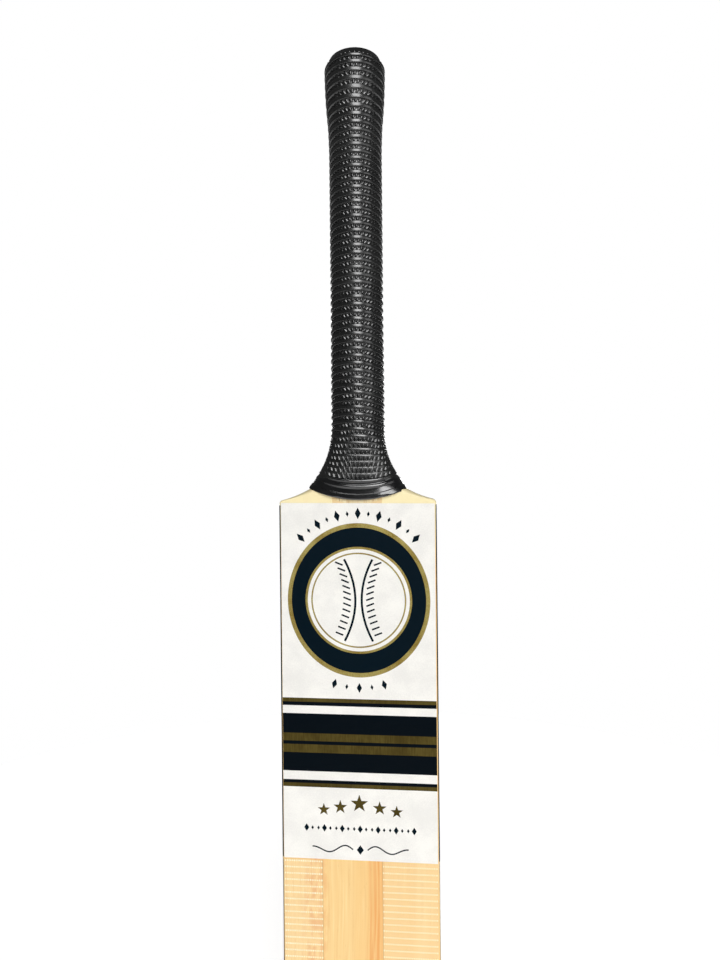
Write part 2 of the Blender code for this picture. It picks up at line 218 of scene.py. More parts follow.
def blendColour(tree, amount, first, second):
    made = tree.nodes.new("ShaderNodeMix")
    made.data_type = "RGBA"
    put(tree, made.inputs["Factor"], amount)
    put(tree, made.inputs[6], first)
    put(tree, made.inputs[7], second)
    return made.outputs[2]


def paint(tree, shader, shade):
    tree.links.new(shade, shader.inputs["Base Color"])


# small dark pores: strongest at their middles, gone at the far distance
def poreDots(tree, size, near, far, strength):
    pores = tree.nodes.new("ShaderNodeTexVoronoi")
    pores.inputs["Scale"].default_value = 1.0
    tree.links.new(place(tree, size), pores.inputs["Vector"])
    return spread(tree, pores.outputs["Distance"], near, far, strength, 0.0)


def bump(tree, shader, height, strength, distance):
    made = tree.nodes.new("ShaderNodeBump")
    made.inputs["Strength"].default_value = strength
    made.inputs["Distance"].default_value = distance
    tree.links.new(height, made.inputs["Height"])
    tree.links.new(made.outputs[0], shader.inputs["Normal"])


def axes(tree):
    where = tree.nodes.new("ShaderNodeTexCoord")
    parts = tree.nodes.new("ShaderNodeSeparateXYZ")
    tree.links.new(where.outputs["Object"], parts.inputs[0])
    return parts.outputs


blade = {
    "faceY": -16 * mm, "halfWidth": 54.0 * mm,
    "shoulderZ": 549.7 * mm, "shoulderSlope": 0.21, "shoulderHollow": 9.0,
    "cornerRadius": 2.5 * mm, "shoulderTopHalfWidth": 33 * mm, "shoulderArris": 8 * mm,
    "bottomZ": 2.3 * mm, "toeCorner": 20 * mm, "bowStart": 290 * mm, "bowAtToe": 3 * mm,
    "faceArris": 1.5 * mm, "backArris": 4 * mm,
    # height, depth of the edge, depth at the spine
    "depths": (
        (0.000, 0.016, 0.024), (0.060, 0.022, 0.035), (0.130, 0.027, 0.046), (0.210, 0.030, 0.053),
        (0.330, 0.028, 0.049), (0.450, 0.024, 0.041), (0.551, 0.020, 0.034), (0.571, 0.019, 0.033),
    ),
    "spliceLow": (441 * mm, 6.3 * mm), "spliceHigh": (571 * mm, 19.3 * mm),
    "arrisSteps": 6, "backSteps": 40, "stations": 60, "toeSteps": 12, "cornerSteps": 8, "shoulderSteps": 12,
    # what is cut out for the grip and the handle, and the cheeks of wood left inside the flare
    "cutAround": 96, "gripGap": 0.05 * mm, "gripSunk": 0.3 * mm, "glueGap": 0.3 * mm,
    "cheekHalf": (32.0 * mm, 15.7 * mm), "cheekBottomZ": 542 * mm, "cheekInset": 1.8 * mm, "cheekShare": 0.30,
    "notchTopZ": 600 * mm, "notchReach": 80 * mm, "sharpAngle": 30,
}

willow = {
    "pale": (249, 212, 146), "warm": (246, 200, 128), "light": (253, 224, 164), "streak": (238, 162, 84),
    "fine": (240, 194, 128), "blotch": (232, 156, 92), "pore": (196, 140, 80), "cut": (255, 244, 196),
    # the tone after pore is the darker line along a tape film's edge; edgeShade is painted shade along the
    # arris
    "veil": (250, 232, 196), "warp": (226, 188, 130), "filmEdgeTone": (190, 150, 92), "edgeShade": (52, 38, 28),
    "wander": 0.012, "figureScale": 800.0, "broadScale": 75.0, "streakScale": 620.0, "poreSize": (900, 900, 95),
    "streakX": 15.0 * mm, "blotchX": -27.0 * mm, "threadPitch": 1.57 * mm, "tapeEdges": (-26.0 * mm, 15.0 * mm),
    "rimMiddle": 0.3 * mm, "rimSpread": (53.1 * mm, 53.8 * mm),
}


def faceY(z):
    below = clamp01((blade["bowStart"] - z) / blade["bowStart"])
    return blade["faceY"] - blade["bowAtToe"] * below**2


def backY(x, z):
    across = 1 - min(abs(x) / blade["halfWidth"], 1.0)
    edge = smoothThrough(blade["depths"], z, 1)
    spine = smoothThrough(blade["depths"], z, 2)
    return faceY(z) + edge + (spine - edge) * eased(across)


def halfWidth(z):
    drop = blade["toeCorner"] - (z - blade["bottomZ"])
    if drop <= 0:
        return blade["halfWidth"]
    return blade["halfWidth"] - blade["toeCorner"] + math.sqrt(max(blade["toeCorner"] ** 2 - drop**2, 0))


# right half of a section, from the face's middle line round the edge to the spine
def halfSection(width, z, faceSteps=12):
    front = faceY(z)
    rear = front + smoothThrough(blade["depths"], z, 1)
    carved = clamp01((blade["halfWidth"] - width) / (blade["halfWidth"] - blade["shoulderTopHalfWidth"]))
    if z < blade["bowStart"]:
        carved = 0.0
    faceR = mix(blade["faceArris"], blade["shoulderArris"], carved)
    backR = mix(blade["backArris"], blade["shoulderArris"], carved)
    section = [(x, front) for x in steps(0.0, width - faceR, faceSteps)]
    for angle in steps(0.0, math.pi / 2, blade["arrisSteps"])[1:]:
        section.append((width - faceR + faceR * math.sin(angle), front + faceR - faceR * math.cos(angle)))
    for angle in steps(0.0, math.pi / 2, blade["arrisSteps"]):
        section.append((width - backR + backR * math.cos(angle), rear - backR + backR * math.sin(angle)))
    reach = width - backR
    start = backY(reach, z) - rear
    for k in range(1, blade["backSteps"] // 2 + 1):
        x = reach * math.cos(math.pi * k / blade["backSteps"])
        section.append((x, backY(x, z) - start * abs(x) / reach))
    return section


def bladeRing(width, z):
    right = halfSection(width, z)
    left = [(-x, y) for x, y in right[1:-1]]
    return [Vector((x, y, z)) for x, y in right + left[::-1]]


def bladeOutline():
    rows = []
    for k in range(blade["toeSteps"] + 1):
        rise = blade["toeCorner"] * (1 - math.cos(math.pi / 2 * k / blade["toeSteps"]))
        z = blade["bottomZ"] + max(rise, 0.1 * mm * k)
        rows.append((halfWidth(z), z))
    turn = math.pi / 2 - math.atan(blade["shoulderSlope"])
    radius = blade["cornerRadius"]
    centreZ = blade["shoulderZ"] - radius * math.tan(turn / 2)
    low = rows[-1][1]
    for k in range(1, blade["stations"]):
        rows.append((blade["halfWidth"], mix(low, centreZ, k / blade["stations"])))
    for angle in steps(0.0, turn, blade["cornerSteps"]):
        across = blade["halfWidth"] - radius + radius * math.cos(angle)
        rows.append((across, centreZ + radius * math.sin(angle)))
    for width in steps(rows[-1][0], blade["shoulderTopHalfWidth"], blade["shoulderSteps"])[1:]:
        inward = blade["halfWidth"] - width
        slope = blade["shoulderSlope"] + blade["shoulderHollow"] * inward
        rows.append((width, blade["shoulderZ"] + inward * slope))
    return rows


# pale wood with long soft figure, one warm streak beside the middle and short pores
def willowFinish(name, shine, taped=False):
    coat = 0.25 if taped else 0.08
    finish, tree, shader = newFinish(name, roughness=shine, specular=0.4, coat=coat, coatRoughness=0.25)
    x, y, z = axes(tree)[:3]
    wander = mottle(tree, (8, 8, 5), 2.0)
    drift = sums(tree, "MULTIPLY_ADD", wander, willow["wander"], x)
    joined = tree.nodes.new("ShaderNodeCombineXYZ")
    for k, part in enumerate((drift, y, times(tree, z, 0.02))):
        tree.links.new(part, joined.inputs[k])
    figure = noise(tree, joined.outputs[0], willow["figureScale"], 4.0, 0.62)
    broad = noise(tree, joined.outputs[0], willow["broadScale"], 2.0, 0.5)
    warmth = spread(tree, broad, 0.36, 0.66, 0.0, 0.65)
    base = blendColour(tree, warmth, colour(willow["pale"]), colour(willow["warm"]))
    base = blendColour(tree, spread(tree, figure, 0.48, 0.72, 0.0, 0.75), base, colour(willow["fine"]))
    base = blendColour(tree, spread(tree, figure, 0.44, 0.28, 0.0, 0.60), base, colour(willow["light"]))
    # the warm streak right of the middle, strongest low down, and blotches under the left tape
    off = distanceTo(tree, drift, willow["streakX"])
    band = spread(tree, off, 0.0025, 0.0070, 1.0, 0.0)
    lines = spread(tree, noise(tree, joined.outputs[0], willow["streakScale"], 3.0, 0.6), 0.38, 0.62, 0.25, 1.0)
    low = spread(tree, z, 0.31, 0.56, 0.85, 0.12)
    streak = times(tree, times(tree, band, lines), low)
    base = blendColour(tree, streak, base, colour(willow["streak"]))
    leftOff = distanceTo(tree, drift, willow["blotchX"])
    leftBand = spread(tree, leftOff, 0.002, 0.012, 1.0, 0.0)
    leftBand = times(tree, leftBand, spread(tree, y, -0.0150, -0.0120, 1.0, 0.0))
    blotch = spread(tree, mottle(tree, (210, 60, 75), 4.0, 0.65), 0.40, 0.62)
    amount = times(tree, times(tree, leftBand, blotch), 0.62)
    base = blendColour(tree, amount, base, colour(willow["blotch"]))
    if taped:
        # the film takes some colour away, shows its lengthwise threads and a darker line along its edge
        base = blendColour(tree, 0.14, base, colour(willow["veil"]))
        warp = sums(tree, "SINE", times(tree, x, 2 * math.pi / willow["threadPitch"]))
        base = blendColour(tree, spread(tree, warp, 0.55, 1.0, 0.0, 0.22), base, colour(willow["warp"]))
        for edge in willow["tapeEdges"]:
            away = distanceTo(tree, x, edge)
            near = spread(tree, away, 0.15 * mm, 0.50 * mm, 0.7, 0.0)
            base = blendColour(tree, near, base, colour(willow["filmEdgeTone"]))
    # the shoulders are sanded to paler wood
    base = blendColour(tree, spread(tree, z, 0.500, 0.552, 0.0, 0.86), base, colour(willow["cut"]))
    dots = poreDots(tree, willow["poreSize"], 0.02, 0.16, 0.30)
    base = blendColour(tree, dots, base, colour(willow["pore"]))
    # painted shade along the arris, strongest on the face side and below the top of the tapes
    rim = spread(tree, distanceTo(tree, x, willow["rimMiddle"]), *willow["rimSpread"], 0.0, 0.95)
    front = spread(tree, y, -0.0150, -0.0135, 1.0, 0.35)
    lowDown = spread(tree, z, 0.3015, 0.3035, 1.0, 0.1)
    shade = times(tree, times(tree, rim, front), lowDown)
    base = blendColour(tree, shade, base, colour(willow["edgeShade"]))
    paint(tree, shader, base)
    tree.links.new(spread(tree, figure, 0.3, 0.7, shine - 0.06, shine + 0.1), shader.inputs["Roughness"])
    bump(tree, shader, figure, 0.25, 0.00015)
    return finish


grip = {
    "wall": 1.5 * mm, "lowRadius": 19.0 * mm, "middleRadius": 18.65 * mm,
    "middleZ": 680 * mm, "flareTopZ": 600 * mm,
    "hemSideZ": 558 * mm, "hemFrontZ": 550 * mm, "hemLean": 0.7 * mm,
    "hemHalfWidth": 34.3 * mm, "hemHalfDepth": 18.3 * mm, "hemSquareness": 5.5, "cuffTop": 21.4 * mm,
    # how the flare's half width and its rise run between hem and shaft
    "flareWidths": (34.3 * mm, 25.0 * mm, 19.2 * mm, 19.0 * mm), "flareRise": (0.345, 0.476),
    # share of the flare, squareness of its section
    "squareness": (
        (0.0, 5.5), (0.06, 4.3), (0.15, 3.3), (0.28, 3.1), (0.52, 3.1), (0.70, 2.8), (0.86, 2.35), (1.0, 2.0),
    ),
    # the thicker upper end: height, radius in mm
    "cuff": ((0.795, 18.65), (0.812, 19.3), (0.822, 20.2), (0.835, 21.0), (0.848, 21.4)),
    "domeAcross": 3.7 * mm, "domeTall": 4.6 * mm, "topZ": 858.5 * mm,
    "columns": 120, "firstCrest": 567.4 * mm, "crestAt": 0.73, "seed": 11,
    # level of a crest in front, distance to the next crest in mm
    "ringPitch": (
        (0.567, 4.20), (0.578, 4.30), (0.594, 4.88), (0.602, 5.01), (0.740, 5.015), (0.760, 4.90),
        (0.798, 4.91), (0.805, 5.25), (0.815, 5.35), (0.8245, 6.4), (0.832, 5.95), (0.8395, 5.35),
        (0.846, 5.0), (0.853, 4.5),
    ),
    "topGap": 2.2 * mm, "finsAround": 39, "finLean": 34, "grooveDepth": 1.38,
    # one fin: section across (share of its room, mm under its ridge), and its ridge from foot to tip
    # (share of the pitch, height under the crest in mm, how far along the lean)
    "finSection": (
        (-0.45, -1.40), (-0.34, -0.60), (-0.17, -0.10), (0.0, 0.0), (0.17, -0.10), (0.34, -0.60), (0.45, -1.40),
    ),
    "finRidge": ((0.00, -1.20, -1.0), (0.13, -0.80, -0.45), (0.33, -0.66, 0.4), (0.49, -0.90, 1.0)),
    # one ring from just above the ring below: share of the pitch, height under the crest in mm
    "ringShape": (
        (0.00, -1.25), (0.10, -1.38), (0.40, -1.30), (0.470, -0.95), (0.495, -0.30), (0.512, -0.10),
        (0.540, -0.03), (0.73, 0.05), (0.914, -0.03), (0.942, -0.10), (0.958, -0.32), (0.983, -0.90),
    ),
    # height, how far the front of a ring stands above its sides, how far the left above the right, mm
    "ringTilt": (
        (0.566, 0.0, 0.0), (0.585, 1.2, 0.4), (0.605, 2.2, 0.7), (0.655, 2.5, 0.6), (0.690, 1.1, 0.1),
        (0.727, 1.9, 0.0), (0.770, 1.6, 0.0), (0.800, 1.9, -0.1), (0.840, 1.2, 0.0), (0.857, 0.0, 0.0),
    ),
    # the plain hem: share of the flare, height of the rib in mm
    "hemShape": (
        (0.000, 0.00), (0.004, 0.16), (0.012, 0.30), (0.020, 0.37), (0.036, 0.47), (0.052, 0.57),
        (0.069, 0.67), (0.072, 0.68), (0.0745, 0.67), (0.0760, 0.55), (0.0775, -0.45), (0.079, -0.60),
        (0.082, -0.59), (0.114, -0.46), (0.145, -0.33), (0.149, -0.30), (0.156, -0.08), (0.162, 0.24),
        (0.170, 0.48), (0.177, 0.54), (0.187, 0.47), (0.195, 0.34), (0.200, 0.10), (0.205, -0.25),
        (0.210, -0.44), (0.213, -0.44), (0.230, -0.36), (0.233, -0.34), (0.239, -0.08), (0.245, 0.24),
        (0.251, 0.38), (0.259, 0.35), (0.267, 0.22), (0.273, -0.02), (0.279, -0.30),
    ),
    "hemSideRib": 0.45,
    # waves pressed into the hem: direction from the right round to the front, width, height in mm
    "hemWaves": ((-0.82, 0.07, 0.34), (-2.18, 0.13, 0.16)), "waveShare": 0.034, "waveSpread": 0.014,
    # over the rim and down the bore: radius, distance from the top in mm
    "bore": ((18.2, 0.0), (17.6, 0.3), (17.25, 1.1), (17.2, 3.0), (17.2, 15.0), (17.2, 160.0), (17.2, 254.0)),
}
domeStart = grip["topZ"] - grip["domeTall"]


# the point in the given direction on a section between an ellipse (squareness 2) and a rectangle
def superellipse(angle, halfX, halfY, squareness):
    cosine, sine = math.cos(angle), math.sin(angle)
    reach = (abs(cosine / halfX) ** squareness + abs(sine / halfY) ** squareness) ** (-1 / squareness)
    return reach * cosine, reach * sine


# the flare's half width for a share of its rise, from a cubic curve between hem and shaft
def flareHalfWidth(share):
    low, high = 0.0, 1.0
    early, late = grip["flareRise"]
    for _ in range(24):
        t = (low + high) / 2
        rise = 3 * t * (1 - t) ** 2 * early + 3 * t * t * (1 - t) * late + t**3
        if rise < share:
            low = t
        else:
            high = t
    weights = ((1 - t) ** 3, 3 * t * (1 - t) ** 2, 3 * t * t * (1 - t), t**3)
    return sum(weight * width for weight, width in zip(weights, grip["flareWidths"]))


def flarePoint(angle, share, lift, drop=0.0):
    halfX = flareHalfWidth(share) if share > 0 else grip["hemHalfWidth"]
    halfY = mix(grip["hemHalfDepth"], grip["lowRadius"], share)
    squareness = smoothThrough(grip["squareness"], share)
    x, y = superellipse(angle, halfX + lift, halfY + lift, squareness)
    across = superellipse(angle, grip["hemHalfWidth"], grip["hemHalfDepth"], grip["hemSquareness"])[0]
    across /= grip["hemHalfWidth"]
    foot = mix(grip["hemFrontZ"], grip["hemSideZ"], across**2) - grip["hemLean"] * across - drop
    return Vector((x, y, mix(foot, grip["flareTopZ"], share)))


def shaftRadius(z):
    if z < grip["middleZ"]:
        return mix(grip["lowRadius"], grip["middleRadius"], eased((z - 0.600) / 0.08))
    return smoothThrough(grip["cuff"], z) * mm


# a point on the grip: height runs up the flare and shaft, then on over the rounded top
def gripPoint(angle, height, lift):
    if height < grip["flareTopZ"]:
        share = (height - grip["hemSideZ"]) / (grip["flareTopZ"] - grip["hemSideZ"])
        point = flarePoint(angle, share, lift)
    elif height <= domeStart:
        radius = shaftRadius(height) + lift
        point = Vector((radius * math.cos(angle), radius * math.sin(angle), height))
    else:
        turn = (height - domeStart) / grip["domeTall"]
        radius = grip["cuffTop"] - grip["domeAcross"] + (grip["domeAcross"] + lift) * math.cos(turn)
        top = domeStart + (grip["domeTall"] + lift) * math.sin(turn)
        point = Vector((radius * math.cos(angle), radius * math.sin(angle), top))
    front = smoothThrough(grip["ringTilt"], height, 1) * mm
    side = smoothThrough(grip["ringTilt"], height, 2) * mm
    point.z += -front * math.sin(angle) - side * math.cos(angle)
    return point


# the height whose front middle stands at the given level
def heightAtFront(level):
    low, high = grip["hemFrontZ"], domeStart + grip["domeTall"] * 1.5
    for _ in range(30):
        middle = (low + high) / 2
        if gripPoint(-math.pi / 2, middle, 0.0).z < level:
            low = middle
        else:
            high = middle
    return low


# lower and upper height of every moulded ring
def ringHeights():
    crest = grip["firstCrest"]
    rings = []
    while crest < grip["topZ"] - grip["topGap"]:
        pitch = smoothThrough(grip["ringPitch"], crest) * mm
        below = grip["crestAt"] * (rings[-1][2] if rings else pitch)
        low = heightAtFront(crest - below)
        if rings:
            rings[-1][1] = low
        rings.append([low, 0.0, pitch])
        crest += pitch
    rings[-1][1] = rings[-1][0] + rings[-1][2]
    return [(low, high) for low, high, _ in rings]


def ringDepth(height):
    return mix(0.50, 1.0, eased((height - 0.568) / 0.034))


print("sums ready")

def makeBlade():
    rings = [bladeRing(width, z) for width, z in bladeOutline()]
    return loft("willowBlade", rings, willowFinish("willowWood", 0.5))


def cutBlade(made):
    wood = made.data.materials[0]
    angles = [2 * math.pi * k / blade["cutAround"] for k in range(blade["cutAround"])]
    gap, sunk = blade["gripGap"], blade["gripSunk"]
    rings = [[flarePoint(a, 0.0, -grip["wall"], sunk) for a in angles]]
    rings += [[flarePoint(a, share, gap, sunk) for a in angles] for share in steps(0.0, 1.0, 14)]
    envelope = loft("gripRoom", rings, wood)
    halfX, halfY = blade["cheekHalf"]
    foot = [superellipse(a, halfX, halfY, grip["hemSquareness"]) for a in angles]
    cheekRings = [[Vector((x, y, blade["cheekBottomZ"])) for x, y in foot]]
    for share in steps(0.0, blade["cheekShare"], 6):
        cheekRings.append([flarePoint(a, share, -blade["cheekInset"]) for a in angles])
    cheeks = loft("cheekWood", cheekRings, wood)
    lowZ, lowX = blade["spliceLow"]
    highZ, highX = blade["spliceHigh"]
    footZ, topZ, reach = lowZ - blade["glueGap"], blade["notchTopZ"], blade["notchReach"]
    outline = ((-lowX, footZ), (lowX, footZ), (highX, highZ), (highX, topZ), (-highX, topZ), (-highX, highZ))
    notch = loft("spliceRoom", [[Vector((x, y, z)) for x, z in outline] for y in (-reach, reach)], wood)
    cuts = (("room", "DIFFERENCE", envelope), ("cheeks", "UNION", cheeks), ("notch", "DIFFERENCE", notch))
    for word, kind, tool in cuts:
        step = made.modifiers.new(word, "BOOLEAN")
        step.operation = kind
        step.solver = "EXACT"
        step.object = tool
    carved = bpy.data.meshes.new_from_object(made.evaluated_get(bpy.context.evaluated_depsgraph_get()))
    made.modifiers.clear()
    made.data = carved
    carved.shade_smooth()
    carved.set_sharp_from_angle(angle=math.radians(blade["sharpAngle"]))
    for tool in (envelope, cheeks, notch):
        bpy.data.objects.remove(tool, do_unlink=True)
    return made


settle(cutBlade(makeBlade()), "willow", "blade")
print("blade shaped")

toe = {
    "thickness": 2 * mm, "overhang": 6 * mm, "inset": 0.976, "rounding": 0.5 * mm, "roundingShare": 0.018,
    "seat": 0.28 * mm, "black": (34, 34, 35), "dust": 26,
}


def rubberFinish(name, black, roughness, grain):
    finish, tree, shader = newFinish(name, roughness=roughness, specular=0.35)
    mottled = mottle(tree, (grain, grain, grain), 4.0, 0.6)
    dusty = [min(255, c + toe["dust"]) for c in black]
    dust = spread(tree, mottled, 0.45, 0.75, 0.0, 0.6)
    paint(tree, shader, blendColour(tree, dust, colour(black), colour(dusty)))
    bump(tree, shader, mottle(tree, (3000, 3000, 3000), 2.0), 0.25, 0.0001)
    return finish


def makeToeGuard():
    outline = bladeRing(halfWidth(blade["bottomZ"]) + toe["overhang"], 0.0)
    middle = Vector((0.0, (faceY(0) + backY(0, 0)) / 2, 0.0))
    rings = []
    for angle in steps(0.0, math.pi / 2, 4):
        share = toe["inset"] - toe["roundingShare"] * (1 - math.sin(angle))
        z = toe["rounding"] * (1 - math.cos(angle))
        rings.append([middle.lerp(p, share) + Vector((0, 0, z)) for p in outline])
    top = Vector((0, 0, toe["thickness"] + toe["seat"]))
    rings.append([middle.lerp(p, toe["inset"]) + top for p in outline])
    return loft("toeGuard", rings, rubberFinish("toeRubber", toe["black"], 0.7, 260))


# pale glue fills the splice's joints, a hair under the face and the back
splice = {
    "bottomZ": 442 * mm, "topZ": 557 * mm, "sunk": 0.06 * mm, "thick": 0.5 * mm,
    "glue": (236, 206, 150), "glueLight": (248, 218, 162),
}


def spliceGlue(word, surface, into):
    lowZ, lowX = blade["spliceLow"]
    highZ, highX = blade["spliceHigh"]
    rings = []
    for z in steps(splice["bottomZ"], splice["topZ"], 12):
        half = mix(lowX, highX, (z - lowZ) / (highZ - lowZ))
        outer = [Vector((x, surface(x, z) + into * splice["sunk"], z)) for x in steps(-half, half, 16)]
        inner = [p + Vector((0, into * splice["thick"], 0)) for p in outer]
        rings.append(outer + inner[::-1])
    finish, tree, shader = newFinish("glue" + word, roughness=0.5)
    smear = mottle(tree, (300, 300, 40), 3.0)
    glue = blendColour(tree, smear, colour(splice["glue"]), colour(splice["glueLight"]))
    paint(tree, shader, glue)
    return settle(loft("spliceGlue" + word, rings, finish), "willow")


spliceGlue("Front", lambda x, z: faceY(z), 1)
spliceGlue("Back", backY, -1)
settle(makeToeGuard(), "toe_rubber", "toe_guard")
print("toe guard glued on")

handle = {
    "cane": (252, 234, 190), "caneDark": (244, 218, 168), "canePore": (206, 164, 110), "spring": (26, 25, 25),
    "twine": (206, 186, 142), "twineDark": (128, 106, 70), "turn": 0.9 * mm,
    "fibreSize": (700, 700, 9), "poreSize": (1150, 1150, 14),
}


def caneFinish():
    finish, tree, shader = newFinish("caneSlips", roughness=0.5, specular=0.4, coat=0.1, coatRoughness=0.3)
    fibres = mottle(tree, handle["fibreSize"], 3.0, 0.6)
    shade = spread(tree, fibres, 0.35, 0.72)
    base = blendColour(tree, shade, colour(handle["cane"]), colour(handle["caneDark"]))
    dots = poreDots(tree, handle["poreSize"], 0.14, 0.34, 0.85)
    base = blendColour(tree, dots, base, colour(handle["canePore"]))
    paint(tree, shader, base)
    tree.links.new(spread(tree, fibres, 0.3, 0.7, 0.42, 0.62), shader.inputs["Roughness"])
    bump(tree, shader, fibres, 0.3, 0.0002)
    return finish


def twineFinish():
    finish, tree, shader = newFinish("waxedTwine", roughness=0.6, specular=0.3)
    z = axes(tree)[2]
    turns = sums(tree, "SINE", times(tree, z, 2 * math.pi / handle["turn"]))
    fuzz = mottle(tree, (900, 900, 900), 3.0, 0.6)
    # painted shade: the colour goes darker in the grooves between the turns, following the bump
    shade = sums(tree, "MULTIPLY_ADD", turns, 0.3, fuzz)
    shade = spread(tree, shade, 0.2, 0.8)
    paint(tree, shader, blendColour(tree, shade, colour(handle["twineDark"]), colour(handle["twine"])))
    bump(tree, shader, turns, 0.6, 0.0003)
    return finish


def dress(nodeNames, finish):
    for name in nodeNames:
        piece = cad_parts[name]
        piece.data.materials.clear()
        piece.data.materials.append(finish)


caneNames = [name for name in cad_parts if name.startswith("cane_")]
springNames = [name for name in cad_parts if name.startswith("rubber_spring_")]
dress(caneNames, caneFinish())
dress(springNames, rubberFinish("springRubber", handle["spring"], 0.75, 400))
dress(["handle_binding"], twineFinish())
print("handle dressed")

gripLook = {
    "root": (5, 6, 6), "rubber": (17, 18, 18), "worn": (32, 33, 32), "hem": (6, 7, 9),
    "coat": 0.4, "coatRoughness": 0.16, "hemGloss": -0.13, "rolledGloss": 0.05,
    # height where the hem begins and ends, and the same for its rolled edge
    "hemHeights": (0.5665, 0.5635), "rolledHeights": (0.5575, 0.5545),
}


# black rubber: dull between the mouldings and darker there as painted shade, polished where the hands rub,
# glossy at the hem
def gripFinish():
    coat, coatRoughness = gripLook["coat"], gripLook["coatRoughness"]
    finish, tree, shader = newFinish("gripRubber", 0.3, 1.0, coat, coatRoughness)
    handled = mottle(tree, (45, 45, 45), 4.0, 0.6)
    grain = mottle(tree, (1500, 1500, 1500), 2.0)
    moulded = tree.nodes.new("ShaderNodeAttribute")
    moulded.attribute_name = "moulded"
    high = moulded.outputs["Fac"]
    wear = spread(tree, handled, 0.42, 0.72, 0.0, 0.6)
    crest = blendColour(tree, wear, colour(gripLook["rubber"]), colour(gripLook["worn"]))
    # painted shade: the colour darkens from crest to root in the hollows between the mouldings
    base = blendColour(tree, spread(tree, high, 0.05, 0.8), colour(gripLook["root"]), crest)
    z = axes(tree)[2]
    hem = spread(tree, z, *gripLook["hemHeights"])
    rolled = spread(tree, z, *gripLook["rolledHeights"])
    base = blendColour(tree, hem, base, colour(gripLook["hem"]))
    paint(tree, shader, base)
    satin = spread(tree, handled, 0.3, 0.7, 0.24, 0.34)
    gloss = sums(tree, "MULTIPLY_ADD", hem, gripLook["hemGloss"], satin)
    gloss = sums(tree, "MULTIPLY_ADD", rolled, gripLook["rolledGloss"], gloss)
    tree.links.new(gloss, shader.inputs["Roughness"])
    bump(tree, shader, grain, 0.12, 0.0001)
    return finish


def hemWave(angle, share):
    up = math.exp(-((share - grip["waveShare"]) / grip["waveSpread"]) ** 2)
    around = angle if angle < math.pi else angle - 2 * math.pi
    waves = [tall * math.exp(-((around - middle) / wide) ** 2) for middle, wide, tall in grip["hemWaves"]]
    return up * sum(waves)


def makeGripSleeve(finish):
    draw = random.Random(grip["seed"])
    angles = [2 * math.pi * k / grip["columns"] for k in range(grip["columns"])]
    span = grip["flareTopZ"] - grip["hemSideZ"]
    rings, heights = [], []
    for share, lift in grip["hemShape"]:
        height = grip["hemSideZ"] + share * span
        ring = []
        for a in angles:
            rib = lift * mix(1.0, grip["hemSideRib"], math.cos(a) ** 4)
            ring.append(gripPoint(a, height, (rib + hemWave(a, share)) * mm))
        rings.append(ring)
        heights.append(0.9)
    for low, high in ringHeights():
        pitch = high - low
        depth = ringDepth(low) * draw.uniform(0.94, 1.04)
        sway, turn = draw.uniform(0.0, 0.08) * mm, draw.uniform(0, 2 * math.pi)
        for share, lift in grip["ringShape"]:
            ring = []
            for a in angles:
                tilt = Vector((0, 0, sway * math.sin(2 * a + turn)))
                ring.append(gripPoint(a, low + pitch * share, lift * depth * mm) + tilt)
            rings.append(ring)
            heights.append(clamp01(1 + lift / grip["grooveDepth"]))
    # over the rim and down the bore, then out under the hem
    for radius, down in grip["bore"]:
        z = grip["topZ"] - down * mm
        rings.append([Vector((radius * mm * math.cos(a), radius * mm * math.sin(a), z)) for a in angles])
        heights.append(0.6)
    for share in steps(0.86, 0.0, 8):
        rings.append([flarePoint(a, share, -grip["wall"]) for a in angles])
        heights.append(0.4)
    return loft("gripSleeve", rings, finish, around=True, crease=0, heights=heights)


# slanting rounded fins that fill the groove under every ring, leaning away from the front and back middle
def makeGripFins(finish):
    draw = random.Random(grip["seed"] + 1)
    wide = len(grip["finSection"])
    body = [tuple(range(wide)), tuple(range(3 * wide, 4 * wide))]
    for row in range(3):
        for k in range(wide):
            j = (k + 1) % wide
            body.append((row * wide + k, row * wide + j, (row + 1) * wide + j, (row + 1) * wide + k))
    solids, heights = [], []
    count = grip["finsAround"]
    slant = math.tan(math.radians(grip["finLean"]))
    phase = 0.0
    rows = ringHeights()
    rows.append((rows[-1][1], rows[-1][1] + 3.4 * mm))
    for low, high in rows:
        pitch = high - low
        depth = ringDepth(low)
        phase += 0.3
        # in the flare the fins grow over the rings
        grown = 1 - eased((low - 0.574) / 0.028)
        for k in range(count):
            middle = 2 * math.pi * (k + phase + draw.uniform(-0.06, 0.06)) / count
            swell = 2 * math.pi / count * draw.uniform(0.92, 1.08)
            lean = slant * math.tanh(3.0 * math.cos(middle)) * pitch * 0.25 / grip["middleRadius"]
            tall = draw.uniform(0.85, 1.1)
            corners = []
            for share, top, tip in grip["finRidge"]:
                for side, drop in grip["finSection"]:
                    rise = max(mix(top, top * 0.4 + 0.44, grown) * tall + drop, -1.4) * depth
                    along = low + pitch * share * mix(1.0, 1.9, grown)
                    corners.append(gripPoint(middle + swell * side + lean * tip, along, rise * mm))
                    heights.append(clamp01(1 + rise / grip["grooveDepth"]))
            solids.append((corners, body))
    fins = cluster("gripFins", solids, finish, crease=60)
    keepHeights(fins, heights)
    return fins


rubber = gripFinish()
settle(makeGripSleeve(rubber), "grip_rubber", "grip_sleeve")
settle(makeGripFins(rubber), "grip_rubber", "grip_sleeve")
print("grip moulded")

